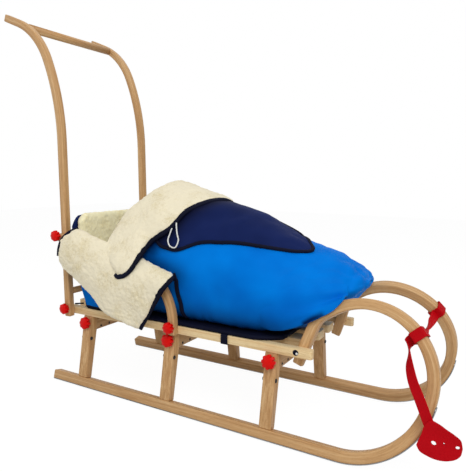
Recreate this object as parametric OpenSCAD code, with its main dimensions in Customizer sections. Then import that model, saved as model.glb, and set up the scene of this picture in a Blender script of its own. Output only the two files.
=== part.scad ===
// Child's push sled: bentwood runners with horns, slatted seat, backrest arms,
// push handle, lined foot-muff and a webbing pull strap.
// Origin on the floor under the middle of the sled, +X towards the horns.

/* [Runners] */
// Outer width over the runners at the floor
gauge = 360; // [320:1:420]
// Rear end of the runners from the origin
runner_rear_x = -404; // [-450:1:-360]
// Straight length of a runner behind the front bend
runner_straight = 795; // [700:1:900]
// Width of the runner across its plane
runner_w = 24; // [18:1:30]
// Depth of the runner wood in its plane
runner_h = 22; // [18:1:28]
// Lean of the runner planes towards the middle, in degrees
runner_lean = 14; // [10:0.5:16]
// Bend radius at the foot of the horn
horn_foot_r = 167; // [150:1:185]
// Bend radius over the top of the horn
horn_top_r = 134; // [120:1:150]
// Bend radius behind the top of the horn
horn_back_r = 125; // [110:1:140]
// Bend radius where the horn turns down to the seat
horn_root_r = 50; // [40:1:60]
// Straight tail of the horn below that bend
horn_tail = 90; // [70:1:100]
// Thickness of the steel strip under each runner
strip_t = 2; // [1:0.5:3]

/* [Seat] */
// Height of the seat top above the floor
seat_z = 207; // [190:1:230]
// Thickness of the seat slats
slat_t = 18.5; // [14:0.5:24]
// Outer width of the seat
seat_w = 294; // [270:1:310]
// Width of the two outer slats
edge_slat_w = 18; // [14:1:22]
// Front end of the outer slats
edge_slat_front = 326; // [300:1:340]
// Rear end of all slats
slat_rear = -398; // [-410:1:-370]
// Width of the inner slats
slat_w = 40; // [30:1:46]
// Pitch of the inner slats
slat_pitch = 65; // [55:1:70]
// Front end of the inner slats
slat_front = 294; // [270:1:310]
// Rounding of the slat corners in plan
slat_r = 6; // [2:0.5:8]

/* [Legs and crossbars] */
// Front-to-back size of a leg
leg_l = 28; // [22:1:36]
// Leg thickness at the top
leg_t = 23; // [18:1:28]
// Leg thickness at the foot
leg_foot_t = 19; // [14:1:22]
// Height of the crossbars
bar_h = 41; // [30:1:50]
// Front-to-back size of the crossbars
bar_l = 20; // [14:1:24]

/* [Backrest arms] */
// Width of the bent arm in its plane
arm_w = 20; // [16:1:26]
// Thickness of the arm
arm_t = 16; // [12:1:20]
// Bend radius of the arm
arm_r = 140; // [120:1:160]
// Rise of the top of the arm, in degrees
arm_rise = 11; // [8:0.5:14]

/* [Push handle] */
// Front-to-back size of the handle bars
upright_w = 19; // [16:1:24]
// Thickness of the handle bars
upright_t = 18; // [14:1:22]
// Straight length of the handle bars
upright_straight = 462; // [420:1:500]
// Long bend radius of the handle bars
upright_r = 560; // [500:1:620]
// Short bend radius at the top of the handle bars
upright_top_r = 190; // [170:1:210]
// Straight end of the handle bars
upright_end = 52; // [40:1:80]
// Diameter of the cross grip
grip_d = 21; // [18:0.5:26]
// Diameter of the rungs between the handle bars
rung_d = 17; // [14:0.5:20]

/* [Star knobs] */
// Diameter of the leg knobs over the lobes
leg_knob_d = 32; // [26:1:36]
// Diameter of the handle and arm knobs over the lobes
arm_knob_d = 28; // [24:1:32]
// Thickness of a knob head
knob_t = 13; // [10:1:16]
// Diameter of a knob hub
knob_hub_d = 15; // [12:1:18]
// Length of a knob hub
knob_hub_l = 5; // [3:0.5:8]
// Number of lobes
knob_lobes = 8; // [6:1:10]

/* [Foot-muff] */
// Wall thickness of the lined muff
muff_t = 9; // [6:1:14]
// Thickness of the turned fleece flaps
flap_t = 10; // [6:1:14]
// Thickness of the back pad
back_t = 20; // [14:1:26]
// Height of the back pad
back_h = 255; // [220:1:280]
// Rounding of the back pad's corners
back_r = 30; // [10:1:40]

/* [Pull strap] */
// Width of the webbing
web_w = 25; // [20:1:30]
// Thickness of the webbing
web_t = 2.4; // [1.5:0.1:3]
// Thickness of the folded hand pad
pad_t = 5; // [3:0.5:8]

/* [Hidden] */
$fn = 48;
// Clearance between pieces that only lie against each other
gap = 0.3;
// Angle between the points drawn round a bend
bend_step = 2;
half_gauge = gauge/2;
floor_rise = runner_w*sin(runner_lean);
half_seat = seat_w/2;
slat_under = seat_z - slat_t;
runner_d = runner_h + strip_t;
// Horn path along the middle of the wood: straight length, bend radius, bend angle
horn_back_turn = 32;
horn_root_run = 26;
horn_path = [[runner_straight, horn_foot_r, 90], [0, horn_top_r, 90], [0, horn_back_r, horn_back_turn],
             [horn_root_run, horn_root_r, 40], [horn_tail, 0, 0]];
// Angle up to which the steel strip follows the foot of the horn
strip_turn = 78;
// Middle of each leg pair from the origin, from rear to front
leg_x = [-301, -31, 235];
bar_z = slat_under - bar_h;
leg_top_y = half_seat - 1.5;
leg_foot_s = runner_d;
leg_set_in = 2;

// Handle bars: foot place, lean back and the bends of their path
upright_x = -358;
upright_foot_z = 182;
upright_lean = 1.2;
upright_in = half_seat + gap;
upright_path = [[upright_straight, upright_r, 22], [0, upright_top_r, 45], [upright_end, 0, 0]];
// Turn of the handle bars, counted from the foot, where the grip crosses them
grip_turn = 58;
rung_z = [249, 400];

// Arms: foot place and path, swung outwards so that they pass outside the handle bars
arm_x = -17;
arm_foot_z = 187;
arm_straight = 25;
// The arm runs back to the handle bar and this far past its middle
arm_past = 14;
arm_run = (arm_x - upright_x + arm_past - arm_r*(1 - sin(arm_rise)))/cos(arm_rise);
arm_end_z = arm_foot_z + arm_straight + arm_r*cos(arm_rise) + (arm_run - arm_past)*sin(arm_rise);
arm_knob_rise = 7;
arm_path = [[arm_straight, arm_r, 90 - arm_rise], [arm_run, 0, 0]];
arm_swing = 3.05;

// Knob places: name, x, z, face distance from the middle, lean, diameter
knob_name = 0;
knob_x = 1;
knob_z = 2;
knob_y = 3;
knob_lean = 4;
knob_d = 5;
leg_lean = atan2(foot_y(leg_foot_s) - leg_top_y, slat_under - foot_z(leg_foot_s));
knob_drop = 19;
leg_knob_y = leg_top_y + knob_drop*tan(leg_lean) + gap;
knobs = [
  ["knob_rear_leg", leg_x[0], slat_under - knob_drop, leg_knob_y, leg_lean, leg_knob_d],
  ["knob_mid_leg", leg_x[1], slat_under - knob_drop, leg_knob_y, leg_lean, leg_knob_d],
  ["knob_front_leg", leg_x[2], slat_under - knob_drop, leg_knob_y, leg_lean, leg_knob_d],
  ["knob_handle_foot", upright_x, 205, upright_in + upright_t + gap, 0, arm_knob_d],
  ["knob_arm_foot", arm_x, 207.2, half_seat + gap + arm_t + gap, 0, arm_knob_d],
  ["knob_arm_end", upright_x - 5, arm_end_z + arm_knob_rise, upright_in + upright_t + arm_t + 4*gap, 0,
   arm_knob_d]];
sides = [["_right", 1], ["_left", -1]];
knob_nodes = [for (k = knobs, s = sides) str(k[knob_name], s[0])];
leg_names = ["leg_rear", "leg_mid", "leg_front"];
leg_nodes = [for (l = leg_names, s = sides) str(l, s[0])];
bar_nodes = ["crossbar_rear", "crossbar_mid", "crossbar_front"];
slat_nodes = ["slat_inner_right", "slat_middle", "slat_inner_left"];

// Top of the horn: height, distance of its inner face from the middle, place where it turns down
horn_s = strip_t + runner_h/2 + horn_foot_r + horn_top_r;
horn_z = floor_rise + horn_s*cos(runner_lean);
horn_in = half_gauge - horn_s*sin(runner_lean) - runner_w*cos(runner_lean);
root_x = runner_rear_x + runner_straight + horn_foot_r - horn_top_r - horn_back_r*sin(horn_back_turn)
  - horn_root_run*cos(horn_back_turn);

// Foot-muff along the sled: place x against half width, bottom, top and forward slope of the section
muff_rim = -234;
muff_half = [[muff_rim, half_seat - 11], [-100, half_seat - 4], [60, half_seat - 2], [180, half_seat - 5],
             [root_x - 100, half_seat - 13], [root_x - 60, half_seat - 23], [root_x - 20, horn_in + 31],
             [root_x + 14, horn_in + 17], [root_x + 40, horn_in - 3], [root_x + 56, horn_in*0.67],
             [root_x + 65, horn_in*0.32]];
muff_low = [[muff_rim, seat_z + gap], [200, seat_z + gap], [root_x - 96, seat_z + 1.5],
            [root_x - 60, seat_z + 17], [root_x - 20, horn_z - 62], [root_x + 14, horn_z - 36],
            [root_x + 40, horn_z - 12], [root_x + 56, horn_z + 8], [root_x + 65, horn_z + 21]];
muff_high = [[muff_rim, seat_z + 298], [-170, seat_z + 299], [-100, seat_z + 295], [-20, seat_z + 288],
             [60, seat_z + 277], [120, seat_z + 263], [180, seat_z + 239], [root_x - 100, horn_z + 108],
             [root_x - 60, horn_z + 93], [root_x - 20, horn_z + 79], [root_x + 14, horn_z + 66],
             [root_x + 40, horn_z + 52], [root_x + 56, horn_z + 40], [root_x + 65, horn_z + 31]];
muff_slope = [[muff_rim, 80], [-20, 20], [60, 6], [120, 0]];
// Share by which the bottom is narrower than the sides, so that the nose passes between the horns
muff_narrow = [[200, 0], [root_x - 60, 0.3], [root_x - 20, 0.42], [root_x + 14, 0.36], [root_x + 40, 0.2],
               [root_x + 65, 0]];
muff_stations = concat([muff_rim, -200, -170, -135, -100, -60, -20, 20, 60, 100, 140, 180, 210],
  [for (d = [-100, -80, -60, -40, -20, -2, 14, 28, 40, 49, 56, 61, 65]) root_x + d]);
muff_sides = 28;
back_half = half_seat - 9;
// Collar: angle round the muff from the right side over the top, width along the muff, puff at the fold
collar_span = [[172, 68, 0], [162, 90, 2], [152, 112, 6], [145, 132, 10], [138, 156, 13], [130, 166, 16],
               [122, 180, 20], [114, 196, 22], [106, 212, 24], [97, 228, 24], [82, 240, 22], [70, 230, 18],
               [55, 205, 10], [40, 170, 4]];
// Side flap columns from rear to front: crest x, its lift over the arm, x of the lower end, lower end
flap_x = 0;
flap_lift = 1;
flap_low_x = 2;
flap_low = 3;
side_flap = [[-313, 8, -288, 273], [-258, 6.6, -227, 228], [-204, 3, -173, 211], [-137, 2.2, -126, 198],
             [-101, 2.4, -114, 196], [-66, 6, -106, 195], [5, 106, -92, 198]];
// Rear end of the side flap, which hangs outside the arm
flap_rear = [[-354, -26, -359, 344], [-340, -6.5, -327, 306]];

// Pull strap route points: from the right wrap to the hand pad, and between the two wraps; x, y, z
strap_right_route = [[512, -106, 254], [507, -108, 247], [511, -126, 237], [516, -146, 222], [526, -160, 195],
                     [542, -169, 165], [556, -172, 134], [561, -172, 122]];
strap_left_route = [[524, 88, 260.6], [524, 76, 257.4], [521, 40, 250], [519, 0, 247], [521, -40, 250],
                    [524, -76, 257.4], [524, -88, 260.6]];
// Turn round the top bend of the horn at which the webbing is wound on
wrap_turn = 42;
// Turn of the webbing's width at the two ends of each route
strap_right_turn = [60, 90];
strap_left_turn = [47, 227];
pad_place = [570, -168, 84];

// Place across the runner plane: half width and height of a point at in-plane height s on the outer face
function foot_y(s) = half_gauge - s*sin(runner_lean) - leg_set_in*cos(runner_lean);
function foot_z(s) = floor_rise + s*cos(runner_lean) - leg_set_in*sin(runner_lean);

// Puts a right-hand piece on either side
module on_side(side) {
  if (side > 0) children();
  else mirror([0, 1, 0]) children();
}

// Points beside a bent path: off to the left of its middle line, one every bend_step degrees in a bend
function beside(path, off, i = 0, at = [0, 0], dir = 0) =
  let (across = [-sin(dir), cos(dir)])
  i == len(path) ? [at + off*across]
  : let (run = path[i][0], r = path[i][1], turn = path[i][2], from = at + run*[cos(dir), sin(dir)],
      centre = from + r*across, n = ceil(turn/bend_step), end = dir + turn)
    concat(run > 0 ? [at + off*across] : [],
      turn > 0 ? [for (k = [0:n - 1]) let (a = dir + turn*k/n) centre + (r - off)*[sin(a), -cos(a)]] : [],
      beside(path, off, i + 1, centre + r*[sin(end), -cos(end)], end));

// Bar of depth d and width w bent along a path
module bent_bar(path, d, w) {
  outer = beside(path, -d/2);
  inner = beside(path, d/2);
  linear_extrude(w) polygon(concat(outer, [for (i = [len(inner) - 1:-1:0]) inner[i]]));
}

// Frame of the right runner: first axis forward, second up the leaning plane, third outwards
module in_runner_plane(d = runner_w) {
  translate([runner_rear_x, -half_gauge, floor_rise]) rotate([90 - runner_lean, 0, 0]) translate([0, 0, -d])
    children();
}

// The horn tail is planed flat where the outer slat is bolted to it
module runner(side) {
  color("BurlyWood") on_side(side) difference() {
    in_runner_plane() translate([0, strip_t + runner_h/2, 0]) bent_bar(horn_path, runner_h, runner_w);
    translate([slat_front - 60, -half_gauge, bar_z])
      cube([160, half_gauge - half_seat + edge_slat_w + gap, 90]);
  }
}

module strip(side) {
  lower = horn_foot_r + runner_h/2 + strip_t/2;
  path = [[runner_straight, lower, strip_turn]];
  color("Silver") on_side(side) in_runner_plane() translate([0, strip_t/2, 2])
    bent_bar(path, strip_t - 0.02, runner_w - 4);
}

// Leg cut to the runner's top face below and to the slats above
module leg(x, side) {
  low = leg_foot_s + gap/10;
  out_y = foot_y(low);
  out_z = foot_z(low);
  in_y = out_y - leg_foot_t*cos(runner_lean);
  in_z = out_z - leg_foot_t*sin(runner_lean);
  color("BurlyWood") on_side(side) translate([x + leg_l/2, 0, 0]) rotate([90, 0, -90]) linear_extrude(leg_l)
    polygon([[out_y, out_z], [leg_top_y, slat_under], [leg_top_y - leg_t, slat_under], [in_y, in_z]]);
}

// Crossbar with its ends cut to the lean of the legs
module crossbar(x) {
  foot_in = foot_y(leg_foot_s) - leg_foot_t*cos(runner_lean);
  foot_in_z = foot_z(leg_foot_s) - leg_foot_t*sin(runner_lean);
  top_in = leg_top_y - leg_t;
  slope = (foot_in - top_in)/(slat_under - foot_in_z);
  low_in = top_in + slope*bar_h;
  color("BurlyWood") translate([x + bar_l/2, 0, 0]) rotate([90, 0, -90]) linear_extrude(bar_l)
    polygon([[-low_in, bar_z], [-top_in, slat_under], [top_in, slat_under], [low_in, bar_z]]);
}

module slat(y, w, front) {
  length = front - slat_rear;
  color("Wheat") translate([slat_rear, y - w/2, slat_under]) linear_extrude(slat_t) rounded(length, w, slat_r);
}

module rounded(l, w, r) {
  translate([r, 0]) square([l - 2*r, w]);
  translate([0, r]) square([l, w - 2*r]);
  for (x = [r, l - r], y = [r, w - r]) translate([x, y]) circle(r);
}

module arm(side) {
  color("BurlyWood") on_side(side) translate([arm_x, -half_seat - gap, arm_foot_z]) rotate([0, 0, arm_swing])
    rotate([90, -90, 0]) bent_bar(arm_path, arm_w, arm_t);
}

// Frame of a handle bar: first axis up along its foot, bends towards the rear
module in_upright() {
  translate([upright_x, -upright_in, upright_foot_z]) rotate([0, -upright_lean, 0])
    rotate([90, -90, 0]) children();
}

module upright(side) {
  color("BurlyWood") on_side(side) in_upright() bent_bar(upright_path, upright_w, upright_t);
}

// Where the grip meets the bars: on their short bend
function grip_at() = let (a = upright_path[0][2], b = grip_turn,
  u = upright_straight + upright_r*sin(a) + upright_top_r*(sin(b) - sin(a)),
  v = upright_r*(1 - cos(a)) + upright_top_r*(cos(a) - cos(b)))
  [upright_x - v*cos(upright_lean) - u*sin(upright_lean),
   upright_foot_z + u*cos(upright_lean) - v*sin(upright_lean)];

module cross_rod(x, z, d) {
  color("Peru") translate([x, -upright_in, z]) rotate([-90, 0, 0]) cylinder(h = 2*upright_in, d = d);
}

// Star knob: domed head with round lobes on a short hub
module knob(k, side) {
  d = k[knob_d];
  lobe = d*0.13;
  color("Red") on_side(side) translate([k[knob_x], -k[knob_y], k[knob_z]]) rotate([90 - k[knob_lean], 0, 0]) {
    cylinder(h = knob_hub_l + 1, d = knob_hub_d);
    intersection() {
      translate([0, 0, knob_hub_l]) linear_extrude(knob_t) {
        circle(d/2 - lobe*1.1);
        for (i = [0:knob_lobes - 1]) rotate(i*360/knob_lobes) translate([d/2 - lobe, 0]) circle(lobe);
      }
      translate([0, 0, knob_hub_l + knob_t - d*0.85]) sphere(d*0.85, $fn = 64);
    }
  }
}

// Closed skin through equal rings of points, with flat ends
module skin(rings) {
  n = len(rings[0]);
  m = len(rings);
  sides = [for (i = [0:m - 2], j = [0:n - 1]) each let (a = i*n + j, b = i*n + (j + 1) % n)
    [[a, b, b + n], [a, b + n, a + n]]];
  top = (m - 1)*n;
  ends = [for (j = [0:n/2 - 2]) each let (k = n - 1 - j) [[j, k - 1, j + 1], [j, k, k - 1],
    [top + j, top + j + 1, top + k - 1], [top + j, top + k - 1, top + k]]];
  polyhedron([for (r = rings) each r], concat(sides, ends));
}

// Point on the muff at place x and angle a round it, drawn in by t: flat below, crowned above
function muff_point(x, a, t) = let (w = lookup(x, muff_half) - t, low = lookup(x, muff_low) + t,
  high = lookup(x, muff_high) - t, mid = low + 0.36*(high - low), c = cos(a), q = sin(a),
  h = q > 0 ? high - mid : mid - low, in = q > 0 ? 0 : lookup(x, muff_narrow)*pow(-q, 0.5))
  [x + lookup(x, muff_slope)*q, w*sign(c)*pow(abs(c), q > 0 ? 0.9 : 0.6)*(1 - in),
   mid + h*sign(q)*pow(abs(q), q > 0 ? 1.12 : 0.5)];
function muff_ring(x, t) = [for (j = [0:muff_sides - 1]) muff_point(x, j*360/muff_sides, t)];

// The muff is a bag with a sloping open rim: outside and inside in one skin
module muff_body() {
  last = len(muff_stations) - 1;
  outer = [for (i = [last:-1:0]) muff_ring(muff_stations[i], 0)];
  inner = [for (i = [0:last - 5]) muff_ring(muff_stations[i], muff_t)];
  color("DodgerBlue") skin(concat(outer, inner));
}

module muff_back() {
  color("Ivory") translate([upright_x + upright_w/2 + 6, 0, seat_z + gap]) rotate([0, -upright_lean, 0])
    rotate([90, 0, 90]) linear_extrude(back_t) translate([-back_half, 0])
      rounded(2*back_half, back_h, back_r);
}

// Fleece-faced collar turned over the rim, lying on the muff
module muff_collar() {
  steps = 6;
  rows = [for (c = collar_span) let (way = [for (k = [0:steps]) muff_rim + c[1]*k/steps])
    concat([for (x = way) muff_point(x, c[0], -1)],
      [for (k = [steps:-1:0]) muff_point(way[k], c[0], -1 - flap_t - c[2]*(1 - k/steps))])];
  color("Ivory") skin(rows);
}

// Height of the arm's upper edge at place x: a straight rise behind its bend
function arm_top(x) = let (r = arm_r + arm_w/2, cx = arm_x - arm_r, cz = arm_foot_z + arm_straight,
  tx = cx + r*sin(arm_rise))
  x > tx ? cz + sqrt(max(0, r*r - pow(x - cx, 2))) : cz + r*cos(arm_rise) + (tx - x)*tan(arm_rise);

// Distance of the arm's outer face from the middle of the sled at place x
function arm_out(x) = half_seat + gap + arm_t + (arm_x - x)*tan(arm_swing) + 1;

// Section of the side flap over the arm: outside from the crest down, then back up along the inside
function flap_section(c) = let (x = c[flap_x], top = arm_top(x) + flap_t + c[flap_lift],
  xl = c[flap_low_x], low = c[flap_low], xq = 0.75*x + 0.25*xl, xm = (x + xl)/2, mid = (top + low)/2,
  out = arm_out(x), t = flap_t)
  [[x, arm_t - out, top - 1], [x, -out - 0.3*t, top], [x, -out - t, top - 9],
   [xq, -arm_out(xq) - t - 2, 0.75*top + 0.25*low], [xm, -arm_out(xm) - t - 2, mid],
   [xl, -arm_out(xl) - t, low],
   [xl, -arm_out(xl), low], [xm, -arm_out(xm) - 2, mid], [x, -out, top - t], [x, arm_t - out, top - t]];

// Section of its rear end, all outside the arm
function flap_rear_section(c) = let (x = c[flap_x], top = arm_top(x) + flap_t + c[flap_lift],
  xl = c[flap_low_x], low = c[flap_low], xq = 0.75*x + 0.25*xl, xm = (x + xl)/2, mid = (top + low)/2,
  out = arm_out(x), t = flap_t)
  [[x, -out, top], [x, -out - 4, top + 1], [x, -out - t, top - 9],
   [xq, -arm_out(xq) - t - 2, 0.75*top + 0.25*low], [xm, -arm_out(xm) - t - 2, mid],
   [xl, -arm_out(xl) - t, low],
   [xl, -arm_out(xl), low], [xm, -arm_out(xm) - 2, mid], [x, -out - 0.5, top - 13], [x, -out - 1.5, top - 7]];

module side_flap_solid(side) {
  color("Ivory") on_side(side) skin(concat([for (c = flap_rear) flap_rear_section(c)],
    [for (c = side_flap) flap_section(c)]));
}

// Webbing wound round a horn, with a sliding gap
module strap_wrap(side) {
  color("Crimson") on_side(side) in_runner_plane() translate([runner_straight, runner_d/2 + 1 + horn_foot_r, 0])
    translate([horn_foot_r - horn_top_r, 0, 0]) rotate(wrap_turn) translate([horn_top_r, 0, runner_w/2])
    rotate([90, 0, 0]) translate([0, 0, -web_w/2]) linear_extrude(web_w) difference() {
      square([runner_h + 4 + 2*web_t, runner_w + 2 + 2*web_t], center = true);
      square([runner_h + 4, runner_w + 2], center = true);
    }
}

// Flat webbing swept along a route, turning from one end to the other
function web_ring(p, dir, a) = let (f = dir/norm(dir), side = cross(f, [0, 0, 1]), u = side/norm(side),
  v = cross(u, f), wide = u*cos(a) + v*sin(a), thin = v*cos(a) - u*sin(a))
  [p + wide*web_w/2 + thin*web_t/2, p - wide*web_w/2 + thin*web_t/2,
   p - wide*web_w/2 - thin*web_t/2, p + wide*web_w/2 - thin*web_t/2];

// Smooth curve through the route points, four steps to a stretch
function eased(route) = let (n = len(route) - 1)
  concat([for (i = [0:n - 1], k = [0:3]) let (t = k/4, a = route[max(i - 1, 0)], b = route[i], c = route[i + 1],
    d = route[min(i + 2, n)])
    b + 0.5*(t*(c - a) + t*t*(2*a - 5*b + 4*c - d) + t*t*t*(3*b - a - 3*c + d))], [route[n]]);

module webbing(route, turn) {
  way = eased(route);
  n = len(way) - 1;
  color("Crimson") skin([for (i = [0:n]) web_ring(way[i], way[min(i + 1, n)] - way[max(i - 1, 0)],
    turn[0] + (turn[1] - turn[0])*i/n)]);
}

// Half-round hand pad folded over the end of the strap
module hand_pad() {
  color("Crimson") translate(pad_place) rotate([90, 18, 0]) linear_extrude(pad_t) difference() {
    union() {
      circle(40);
      translate([-28, 0]) square([40, 36]);
    }
    translate([-60, -60]) square([34, 120]);
    translate([12, -4]) circle(4);
  }
}

for (s = sides) {
  runner(s[1]);
  strip(s[1]);
  for (i = [0:len(leg_x) - 1]) leg(leg_x[i], s[1]);
  on_side(s[1])
    slat(-half_seat + edge_slat_w/2, edge_slat_w, edge_slat_front);
  arm(s[1]);
  upright(s[1]);
  for (k = knobs) knob(k, s[1]);
  side_flap_solid(s[1]);
  strap_wrap(s[1]);
}
for (i = [0:len(leg_x) - 1]) crossbar(leg_x[i]);
for (i = [0:2]) slat((i - 1)*slat_pitch, slat_w, slat_front);
cross_rod(grip_at()[0], grip_at()[1], grip_d);  // grip
cross_rod(upright_x - 1, rung_z[0], rung_d);  // rung_lower
cross_rod(upright_x - 4, rung_z[1], rung_d);  // rung_upper
muff_body();
muff_back();
muff_collar();
webbing(strap_right_route, strap_right_turn);  // strap_right
webbing(strap_left_route, strap_left_turn);  // strap_left
hand_pad();
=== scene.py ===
import math

import bpy
import numpy as np
from mathutils import Matrix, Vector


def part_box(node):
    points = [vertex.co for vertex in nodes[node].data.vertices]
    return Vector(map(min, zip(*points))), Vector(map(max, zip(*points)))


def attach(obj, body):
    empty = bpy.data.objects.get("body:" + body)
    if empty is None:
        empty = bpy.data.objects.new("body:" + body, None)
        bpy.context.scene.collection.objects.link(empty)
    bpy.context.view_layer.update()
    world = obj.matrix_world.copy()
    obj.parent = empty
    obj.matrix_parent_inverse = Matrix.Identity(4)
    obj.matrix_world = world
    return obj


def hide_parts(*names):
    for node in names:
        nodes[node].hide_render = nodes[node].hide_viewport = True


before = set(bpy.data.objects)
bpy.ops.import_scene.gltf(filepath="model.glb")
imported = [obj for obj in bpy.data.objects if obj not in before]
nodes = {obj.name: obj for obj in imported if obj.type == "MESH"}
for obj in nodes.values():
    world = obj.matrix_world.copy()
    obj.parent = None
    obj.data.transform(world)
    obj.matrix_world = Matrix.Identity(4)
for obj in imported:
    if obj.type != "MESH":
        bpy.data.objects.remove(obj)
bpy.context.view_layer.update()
sides = {"right": -1.0, "left": 1.0}  # the sled's right is at -Y


# Small helpers for curves, grids and meshes

# sRGB byte colour to the linear values that a shader socket takes
def tone(r, g, b):
    c = np.array([r, g, b]) / 255
    return (*np.where(c <= 0.04045, c / 12.92, ((c + 0.055) / 1.055) ** 2.4), 1.0)


# table of (place, value) rows read as a smooth curve: cubic pieces with the slopes of the neighbours
def curveThrough(x, table):
    xs, ys = np.array(table, float).T
    slope = np.gradient(ys, xs)
    i = np.clip(np.searchsorted(xs, x) - 1, 0, len(xs) - 2)
    h = xs[i + 1] - xs[i]
    t = np.clip((x - xs[i]) / h, 0, 1)
    a, b = 2 * t**3 - 3 * t**2 + 1, t**3 - 2 * t**2 + t
    return a * ys[i] + b * h * slope[i] + (1 - a) * ys[i + 1] + (t**3 - t**2) * h * slope[i + 1]


# count points, evenly spaced, on the smooth curve through the given points
def smoothLine(points, count):
    p = np.array(points, float)
    s = np.concatenate([[0], np.cumsum(np.linalg.norm(np.diff(p, axis=0), axis=1))])
    fine = np.linspace(0, s[-1], 40 * len(p))
    q = np.stack([curveThrough(fine, np.stack([s, p[:, k]], 1)) for k in range(p.shape[1])], 1)
    d = np.concatenate([[0], np.cumsum(np.linalg.norm(np.diff(q, axis=0), axis=1))])
    at = np.linspace(0, d[-1], count)
    return np.stack([np.interp(at, d, q[:, k]) for k in range(p.shape[1])], 1)


# rows x columns of control points turned into a fine grid: smooth along the columns, then along the rows
def smoothGrid(control, rows, columns):
    across = np.stack([smoothLine(r, columns) for r in control])
    return np.stack([smoothLine(across[:, j], rows) for j in range(columns)], 1)


# random values on a 32-cube, eased between its corners, size metres to a cell
def lumps(p, size, seed):
    g = np.random.default_rng(seed).uniform(-1, 1, (32, 32, 32))
    q = p / size
    i = np.floor(q).astype(int)
    f = q - i
    f = f * f * (3 - 2 * f)
    total = np.zeros(len(p))
    for corner in np.ndindex(2, 2, 2):
        k = (i + corner) % 32
        w = np.prod(np.where(corner, f, 1 - f), axis=1)
        total += w * g[k[:, 0], k[:, 1], k[:, 2]]
    return total


# unit normals of a grid of points: cross product of its two step directions
def gridNormals(p):
    n = np.cross(np.gradient(p, axis=0), np.gradient(p, axis=1))
    return n / np.maximum(np.linalg.norm(n, axis=2, keepdims=True), 1e-12)


# four-cornered faces over a grid of vertex numbers
def gridFaces(number):
    a, b, c, d = number[:-1, :-1], number[1:, :-1], number[1:, 1:], number[:-1, 1:]
    return np.stack([a, b, c, d], -1).reshape(-1, 4)


def makePiece(name, points, faces, material):
    mesh = bpy.data.meshes.new(name)
    mesh.from_pydata(points.reshape(-1, 3), [], faces)
    mesh.validate()
    mesh.polygons.foreach_set("use_smooth", np.ones(len(mesh.polygons), bool))
    mesh.materials.append(material)
    piece = bpy.data.objects.new(name, mesh)
    bpy.context.scene.collection.objects.link(piece)
    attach(piece, "root")
    return piece


# two sheets half a thickness either side of a grid, drawn together round the edge within the edge distance
def pillow(name, p, half, edge, material):
    rows, columns = p.shape[:2]
    n = gridNormals(p)
    u = np.linalg.norm(np.diff(p, axis=0), axis=2).sum(0).mean() * np.linspace(0, 1, rows)
    v = np.linalg.norm(np.diff(p, axis=1), axis=2).sum(1).mean() * np.linspace(0, 1, columns)
    away = np.minimum(np.minimum(u, u[::-1])[:, None], np.minimum(v, v[::-1])[None, :])
    h = half * np.sqrt(1 - (1 - np.clip(away / edge, 0, 1)) ** 2)
    top = np.arange(rows * columns).reshape(rows, columns)
    inside = np.zeros((rows, columns), bool)
    inside[1:-1, 1:-1] = True
    under = top.copy()
    under[inside] = rows * columns + np.arange(inside.sum())
    points = np.concatenate([(p + n * h[..., None]).reshape(-1, 3), (p - n * h[..., None])[inside]])
    return makePiece(name, points, np.concatenate([gridFaces(top), gridFaces(under)[:, ::-1]]), material)


# closed outline (across, up) carried along a path; wide gives the across direction at each point
def sweep(name, path, wide, outline, material):
    along = np.gradient(path, axis=0)
    along /= np.linalg.norm(along, axis=1, keepdims=True)
    wide = wide - (wide * along).sum(1, keepdims=True) * along
    wide /= np.linalg.norm(wide, axis=1, keepdims=True)
    up = np.cross(along, wide)
    p = path[:, None] + outline[None, :, :1] * wide[:, None] + outline[None, :, 1:] * up[:, None]
    count, around = p.shape[:2]
    number = np.arange(count * around).reshape(count, around)
    faces = gridFaces(np.concatenate([number, number[:, :1]], 1))
    ends = [list(number[0]), list(number[-1][::-1])]
    return makePiece(name, p, [list(f) for f in faces] + ends, material)


# flat band round a bar: a loop in the plane of two directions, carried along the bar for the band's width
def band(name, centre, along, across, away, loop, width, thick, material, slant=0.0):
    steps = np.linspace(-0.5, 0.5, 24)[:, None, None] * width
    spoke = loop[None, :, :1] * across + loop[None, :, 1:] * away
    inner = centre + (steps + slant * loop[None, :, :1]) * along + spoke
    outer = inner + thick * spoke / np.linalg.norm(spoke, axis=2, keepdims=True).min()
    rings = np.concatenate([inner, outer[::-1]])
    number = np.arange(rings.shape[0] * len(loop)).reshape(rings.shape[0], -1)
    number = np.concatenate([number, number[:1]])
    return makePiece(name, rings, gridFaces(np.concatenate([number, number[:, :1]], 1)), material)


# superellipse outline, square towards high power
def outlineOf(width, height, power=4, count=24):
    a = np.linspace(0, 2 * np.pi, count, endpoint=False)
    c, s = np.cos(a), np.sin(a)
    return np.stack([width / 2 * np.sign(c) * np.abs(c) ** (2 / power),
                     height / 2 * np.sign(s) * np.abs(s) ** (2 / power)], 1)


# moves every vertex along its normal by the sum of lumps: (height, cell size) pairs
def fluff(piece, layers, seed):
    mesh = piece.data
    p = np.empty(len(mesh.vertices) * 3, np.float32)
    n = np.empty_like(p)
    mesh.vertices.foreach_get("co", p)
    mesh.vertex_normals.foreach_get("vector", n)
    p, n = p.reshape(-1, 3), n.reshape(-1, 3)
    rise = sum(h * lumps(p.astype(float), size, seed + i) for i, (h, size) in enumerate(layers))
    mesh.vertices.foreach_set("co", (p + n * rise[:, None]).astype(np.float32).ravel())
    mesh.update()


# Materials

def addNode(tree, kind, inputs=None, **settings):
    n = tree.nodes.new(kind)
    for key, value in settings.items():
        setattr(n, key, value)
    for key, value in (inputs or {}).items():
        if isinstance(value, bpy.types.NodeSocket):
            tree.links.new(value, n.inputs[key])
        else:
            n.inputs[key].default_value = value
    return n


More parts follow.
